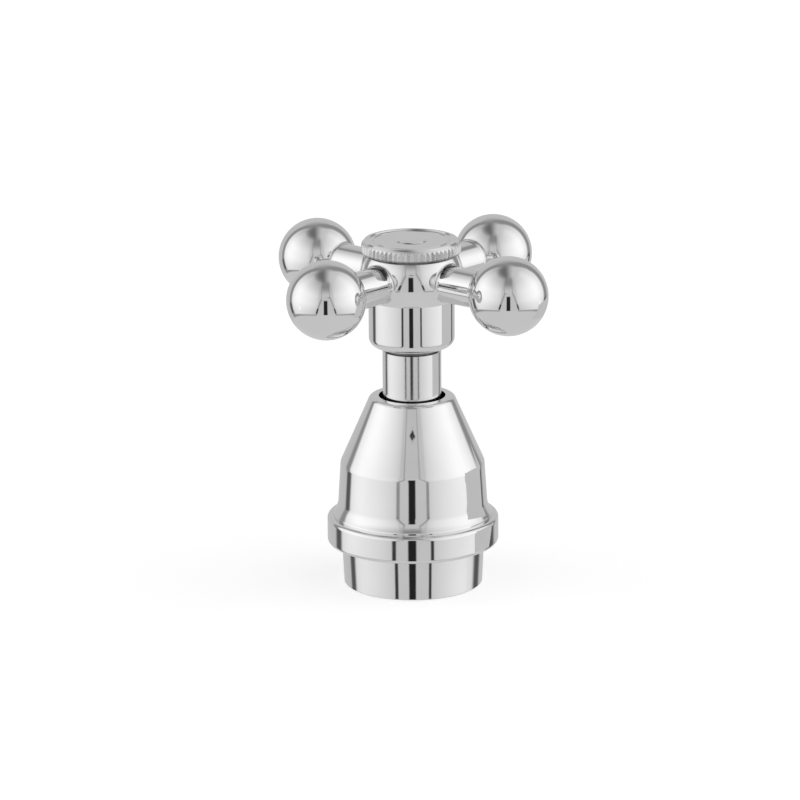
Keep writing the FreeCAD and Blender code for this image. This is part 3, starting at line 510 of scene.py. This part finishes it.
class TapCameraSettings(bpy.types.PropertyGroup):
    azimuth: bpy.props.FloatProperty(
        name="Azimuth", description="Camera's side, from the front towards the right arm",
        default=math.radians(41.24), subtype="ANGLE")
    elevation: bpy.props.FloatProperty(
        name="Elevation", description="Camera's height as an angle", default=math.radians(14.118),
        subtype="ANGLE")
    distance: bpy.props.FloatProperty(
        name="Distance", description="Camera to the middle of the arms", default=1.0557,
        subtype="DISTANCE", unit="LENGTH")
    focal_length: bpy.props.FloatProperty(
        name="Focal length", description="Focal length in millimetres on a 36 mm sensor",
        default=215.99)
    roll: bpy.props.FloatProperty(
        name="Roll", description="Camera's turn about its own line of sight",
        default=math.radians(0.41), subtype="ANGLE")
    arms_across: bpy.props.FloatProperty(
        name="Arms across", description="Middle of the arms right of the picture's middle, in pixels",
        default=12.15)
    arms_up: bpy.props.FloatProperty(
        name="Arms up", description="Middle of the arms above the picture's middle, in pixels",
        default=123.90)


class TapFinishSettings(bpy.types.PropertyGroup):
    chrome_colour: bpy.props.FloatVectorProperty(
        name="Chrome", description="Colour of the chrome plate", default=(0.80, 0.80, 0.80), size=3,
        subtype="COLOR", min=0.0, max=1.0)
    chrome_roughness: bpy.props.FloatProperty(
        name="Chrome roughness", description="Roughness of clean chrome", default=0.03, min=0.0,
        max=1.0)
    chrome_haze: bpy.props.FloatProperty(
        name="Chrome haze", description="Roughness that faint smears add", default=0.03, min=0.0,
        max=1.0)
    sleeve_roughness: bpy.props.FloatProperty(
        name="Sleeve roughness", description="Roughness of the satin sleeve", default=0.13, min=0.0,
        max=1.0)
    brass_colour: bpy.props.FloatVectorProperty(
        name="Brass", description="Colour of the turned brass pieces", default=(0.72, 0.53, 0.26),
        size=3, subtype="COLOR", min=0.0, max=1.0)
    rubber_colour: bpy.props.FloatVectorProperty(
        name="Rubber", description="Colour of seals and washer", default=(0.035, 0.035, 0.037),
        size=3, subtype="COLOR", min=0.0, max=1.0)


class TapSettings(bpy.types.PropertyGroup):
    studio: bpy.props.PointerProperty(type=TapStudioSettings)
    camera: bpy.props.PointerProperty(type=TapCameraSettings)
    finish: bpy.props.PointerProperty(type=TapFinishSettings)


# The studio's light, floor and sheets

def across_and_towards(azimuth):
    """Level directions to the camera's right and from the tap towards the camera."""
    across = Vector((math.cos(azimuth), math.sin(azimuth), 0.0))
    towards = Vector((math.sin(azimuth), -math.cos(azimuth), 0.0))
    return across, towards


def panel_masks(wiring, view, across, towards, edges):
    """Masks of a panel, and of the panel with its frame."""
    panel = 1.0
    framed = 1.0
    for edge in edges:
        normal = across * edge.side + towards * edge.forward + Vector((0.0, 0.0, edge.up))
        normal.normalize()
        inside = wiring.math("ADD", wiring.dot(view, normal), edge.lowered)
        panel = wiring.product(panel, wiring.ramp(inside, Step(-edge.soft, edge.soft)))
        outer = -edge.rim - edge.soft
        framed = wiring.product(framed, wiring.ramp(inside, Step(outer, 2 * edge.soft + outer)))
    return panel, framed


def room_colour(wiring, forward, up):
    """The room round the panels: a darker ceiling, and a pale floor."""
    back = wiring.ramp(up, ROOM_BACK)
    front = wiring.ramp(up, ROOM_FRONT)
    level = wiring.lerp(wiring.ramp(forward, ROOM_BACK_TO_FRONT), back, front)
    return wiring.lerp(wiring.ramp(up, ROOM_FLOOR_END), ROOM_FLOOR, level)


def panel_colour(wiring, side, forward, up):
    """A panel's own light: dimmer towards the gap, at its far end, low down and high up."""
    rest = wiring.math("SUBTRACT", JUST_OVER_ONE, wiring.math("POWER", up, 2.0))
    facing = wiring.math("DIVIDE", forward, wiring.math("SQRT", rest))
    off_gap = wiring.math("SUBTRACT", PANEL_RISE_START, facing)
    away = wiring.math("MULTIPLY", off_gap, PANEL_RISE_RATE, clamp=True)
    rise = wiring.product(wiring.math("POWER", away, PANEL_RISE_POWER), PANEL_RISE)
    level = wiring.math("ADD", rise, PANEL_LEAST)
    level = wiring.product(level, wiring.ramp(facing, PANEL_FAR_END))
    level = wiring.product(level, wiring.ramp(up, PANEL_LOW_DOWN))
    above = wiring.math("SUBTRACT", up, PANEL_FALL_START)
    high = wiring.math("MULTIPLY", above, PANEL_FALL_RATE, clamp=True)
    fall = wiring.product(wiring.math("POWER", high, PANEL_FALL_POWER), wiring.ramp(side, PANEL_FALL))
    return wiring.product(level, wiring.math("SUBTRACT", 1.0, fall))


def frame_colour(wiring, forward, up):
    """The panels' frames: dark low down, grey elsewhere."""
    low = wiring.product(wiring.ramp(up, FRAME_DARK_START), wiring.ramp(up, FRAME_DARK_END))
    plain = wiring.ramp(forward, FRAME_PLAIN)
    dark = wiring.ramp(forward, FRAME_DARK)
    return wiring.lerp(low, plain, dark)


def slit_mask(wiring, side, forward, up):
    """The dark slit that the camera looks through."""
    off_middle = wiring.math("ABSOLUTE", wiring.math("ADD", side, -SLIT_MIDDLE))
    narrow = wiring.ramp(off_middle, SLIT_SIDES)
    in_front = wiring.ramp(forward, SLIT_IN_FRONT)
    low_end = wiring.ramp(up, SLIT_LOW_END)
    high_end = wiring.ramp(up, SLIT_HIGH_END)
    return wiring.product(wiring.product(narrow, in_front), wiring.product(low_end, high_end))


def build_world(studio, azimuth):
    """A white background, and a soft studio for light and reflections."""
    world = bpy.data.worlds.new("studio")
    world.use_nodes = True
    bpy.context.scene.world = world
    wiring = Wiring(world.node_tree)
    world.node_tree.nodes.clear()
    across, towards = across_and_towards(azimuth)
    view = wiring.add("ShaderNodeTexCoord").outputs["Generated"]
    side = wiring.dot(view, across)
    forward = wiring.dot(view, towards)
    up = wiring.dot(view, UPWARDS)

    level = room_colour(wiring, forward, up)
    border = frame_colour(wiring, forward, up)
    light = panel_colour(wiring, side, forward, up)
    masks = [panel_masks(wiring, view, across, towards, edges) for edges in (LEFT_PANEL, RIGHT_PANEL)]
    for _, framed in masks:
        level = wiring.lerp(framed, level, border)
    for panel, _ in masks:
        level = wiring.lerp(panel, level, light)
    level = wiring.lerp(wiring.ramp(up, OVERHEAD_START), level, wiring.ramp(side, OVERHEAD))
    level = wiring.lerp(slit_mask(wiring, side, forward, up), level, SLIT_LEVEL)
    level = wiring.product(level, studio.light)

    inside = wiring.add("ShaderNodeBackground")
    wiring.plug(level, inside.inputs["Color"])
    behind = wiring.add("ShaderNodeBackground")
    behind.inputs["Color"].default_value = grey(1.0)
    light_path = wiring.add("ShaderNodeLightPath")
    seen = wiring.choose(light_path.outputs["Is Camera Ray"], inside.outputs[0], behind.outputs[0])
    wiring.plug(seen, wiring.add("ShaderNodeOutputWorld").inputs["Surface"])


def floor_material(studio):
    """A pale floor that keeps the tap's shadow, and that the metal looks past to the studio."""
    material, wiring, shader = new_material("floor")
    shader.inputs["Base Color"].default_value = (*studio.floor_colour, 1.0)
    shader.inputs["Roughness"].default_value = MATT
    shader.inputs["Emission Color"].default_value = grey(1.0)
    light_path = wiring.add("ShaderNodeLightPath")
    glow = wiring.product(light_path.outputs["Is Camera Ray"], FLOOR_GLOW)
    wiring.plug(glow, shader.inputs["Emission Strength"])
    clear = wiring.add("ShaderNodeBsdfTransparent")
    mirrored = wiring.math("MAXIMUM", light_path.outputs["Is Glossy Ray"],
                           light_path.outputs["Is Transmission Ray"])
    surface = wiring.choose(mirrored, shader.outputs[0], clear.outputs[0])
    wiring.plug(surface, material.node_tree.nodes["Material Output"].inputs["Surface"])
    return material


def make_floor(studio):
    """A round floor just under the tap's foot."""
    shape = bmesh.new()
    bmesh.ops.create_circle(shape, cap_ends=True, segments=FLOOR_SIDES, radius=studio.floor_radius)
    mesh = bpy.data.meshes.new("floor")
    shape.to_mesh(mesh)
    shape.free()
    floor = bpy.data.objects.new("floor", mesh)
    floor.location.z = cad_box[0].z - FLOOR_DROP
    bpy.context.scene.collection.objects.link(floor)
    mesh.materials.append(floor_material(studio))


def make_sheet(name, corners, brightness):
    """A flat sheet outside the picture that only the metal sees."""
    mesh = bpy.data.meshes.new(name)
    mesh.from_pydata(corners, [], [(0, 1, 2, 3)])
    sheet = bpy.data.objects.new(name, mesh)
    material, _, shader = new_material(name)
    shader.inputs["Base Color"].default_value = grey(SHEET_GREY)
    shader.inputs["Roughness"].default_value = MATT
    shader.inputs["Emission Color"].default_value = grey(brightness)
    shader.inputs["Emission Strength"].default_value = 1.0
    mesh.materials.append(material)
    sheet.visible_camera = False
    sheet.visible_diffuse = False
    sheet.visible_shadow = False
    bpy.context.scene.collection.objects.link(sheet)


def make_card(studio, azimuth):
    """A grey card that stands low at the camera's right."""
    across, towards = across_and_towards(azimuth)
    near = across * studio.card_distance + towards * studio.card_near
    far = across * studio.card_distance - towards * studio.card_far
    low = Vector((0.0, 0.0, studio.card_bottom))
    high = Vector((0.0, 0.0, studio.card_top))
    make_sheet("card", (near + low, far + low, far + high, near + high), studio.card_colour)


def make_hole(studio, azimuth):
    """A small dark hole in the studio's front, above the camera's line of sight."""
    across, towards = across_and_towards(azimuth)
    middle = towards * studio.hole_forward + Vector((0.0, 0.0, studio.hole_up))
    reach = across * studio.hole_reach
    rise = Vector((0.0, 0.0, studio.hole_rise))
    corners = (middle - reach, middle - rise, middle + reach, middle + rise)
    make_sheet("hole", corners, HOLE_LEVEL)


# Operators

class TAP_OT_studio(bpy.types.Operator):
    """Build the floor, the card, the small hole, the soft light and the background"""
    bl_idname = "tap.studio"
    bl_label = "Studio"

    def execute(self, context):
        settings = context.scene.tap
        make_floor(settings.studio)
        make_card(settings.studio, settings.camera.azimuth)
        make_hole(settings.studio, settings.camera.azimuth)
        build_world(settings.studio, settings.camera.azimuth)
        context.scene.view_settings.view_transform = "Standard"
        return {"FINISHED"}


class TAP_OT_camera(bpy.types.Operator):
    """Place the camera at the picture's angle"""
    bl_idname = "tap.camera"
    bl_label = "Camera"

    def execute(self, context):
        settings = context.scene.tap.camera
        across, towards = across_and_towards(settings.azimuth)
        arms = Vector((0.0, 0.0, BALL_MIDDLE_HEIGHT))
        outward = towards * math.cos(settings.elevation)
        outward.z = math.sin(settings.elevation)
        up = across.cross(-outward)
        pixels_away = settings.focal_length / SENSOR_WIDTH_MM * PICTURE_PIXELS
        aim = -outward * pixels_away - across * settings.arms_across - up * settings.arms_up
        data = bpy.data.cameras.new("camera")
        data.sensor_width = SENSOR_WIDTH_MM
        data.lens = settings.focal_length
        data.clip_end = CAMERA_REACH
        camera = bpy.data.objects.new("camera", data)
        place = arms + outward * settings.distance
        turn = aim.to_track_quat("-Z", "Y").to_matrix().to_4x4()
        roll = Matrix.Rotation(-settings.roll, 4, "Z")
        camera.matrix_world = Matrix.Translation(place) @ turn @ roll
        context.scene.collection.objects.link(camera)
        context.scene.camera = camera
        return {"FINISHED"}


class TAP_OT_body(bpy.types.Operator):
    """Finish the barrel, the base ring and the bonnet"""
    bl_idname = "tap.body"
    bl_label = "Barrel, ring and bonnet"

    def execute(self, context):
        finish = context.scene.tap.finish
        for piece in ("barrel", "ring", "bonnet"):
            plate(piece, finish)
        return {"FINISHED"}


class TAP_OT_handle(bpy.types.Operator):
    """Finish the sleeve, hub, arms and balls, with painted shade in the sleeve's groove and painted
    shadow under the cap
    """
    bl_idname = "tap.handle"
    bl_label = "Handle"

    def execute(self, context):
        finish = context.scene.tap.finish
        plate("sleeve", finish, finish.sleeve_roughness, (SLEEVE_GROOVE_SHADE,))
        plate("hub", finish, bands=(HUB_SHADE_UNDER_CAP,))
        plate("arm", finish)
        plate("ball", finish)
        return {"FINISHED"}


class TAP_OT_cap(bpy.types.Operator):
    """Finish the index cap: a satin knurl, and painted shade at its lower edge"""
    bl_idname = "tap.cap"
    bl_label = "Index cap"

    def execute(self, context):
        plate("cap", context.scene.tap.finish, bands=(CAP_KNURL, CAP_LOWER_EDGE_SHADE))
        return {"FINISHED"}


class TAP_OT_inside(bpy.types.Operator):
    """Finish the brass, steel, rubber, fibre and packing inside"""
    bl_idname = "tap.inside"
    bl_label = "Pieces inside"

    def execute(self, context):
        finish = context.scene.tap.finish
        brass = tuple(finish.brass_colour)
        rubber = tuple(finish.rubber_colour)
        dress(BRASS_NODES, grained_material(
            "brass", light=brass, dark=shaded(brass, BRASS_SHADE), size=700.0, roughness=0.25,
            metallic=1.0, depth=0.00001))
        dress(STEEL_NODES, grained_material(
            "steel", light=(0.62, 0.62, 0.60), dark=(0.5, 0.5, 0.49), size=900.0, roughness=0.25,
            metallic=1.0, depth=0.00001))
        dress(RUBBER_NODES, grained_material(
            "rubber", light=rubber, dark=shaded(rubber, RUBBER_SHADE), size=1500.0, roughness=0.6,
            metallic=0.0, depth=0.00002))
        dress(FIBRE_NODES, grained_material(
            "fibre", light=(0.36, 0.11, 0.07), dark=(0.24, 0.07, 0.05), size=2200.0, roughness=0.7,
            metallic=0.0, depth=0.00003))
        dress(PACKING_NODES, grained_material(
            "packing", light=(0.75, 0.73, 0.66), dark=(0.6, 0.57, 0.5), size=2600.0, roughness=0.8,
            metallic=0.0, depth=0.00004))
        return {"FINISHED"}


OPERATORS = (
    TAP_OT_studio, TAP_OT_camera, TAP_OT_body, TAP_OT_handle, TAP_OT_cap, TAP_OT_inside,
)


class TAP_PT_panel(bpy.types.Panel):
    """The tap's pieces, and their sizes and colours"""
    bl_idname = "TAP_PT_panel"
    bl_label = "Cross handle tap"
    bl_space_type = "VIEW_3D"
    bl_region_type = "UI"
    bl_category = "Tap"

    def draw(self, context):
        settings = context.scene.tap
        for operator in OPERATORS:
            self.layout.operator(operator.bl_idname)
        for group in (settings.studio, settings.camera, settings.finish):
            box = self.layout.box()
            for name in group.__annotations__:
                box.prop(group, name)


CLASSES = (
    TapStudioSettings, TapCameraSettings, TapFinishSettings, TapSettings, *OPERATORS, TAP_PT_panel,
)


def register():
    for item in CLASSES:
        bpy.utils.register_class(item)
    bpy.types.Scene.tap = bpy.props.PointerProperty(type=TapSettings)


def unregister():
    del bpy.types.Scene.tap
    for item in reversed(CLASSES):
        bpy.utils.unregister_class(item)


def main():
    register()
    bpy.ops.tap.studio()
    bpy.ops.tap.camera()
    bpy.ops.tap.body()
    bpy.ops.tap.handle()
    bpy.ops.tap.cap()
    bpy.ops.tap.inside()
    bpy.context.view_layer.update()


if __name__ == "__main__":
    main()
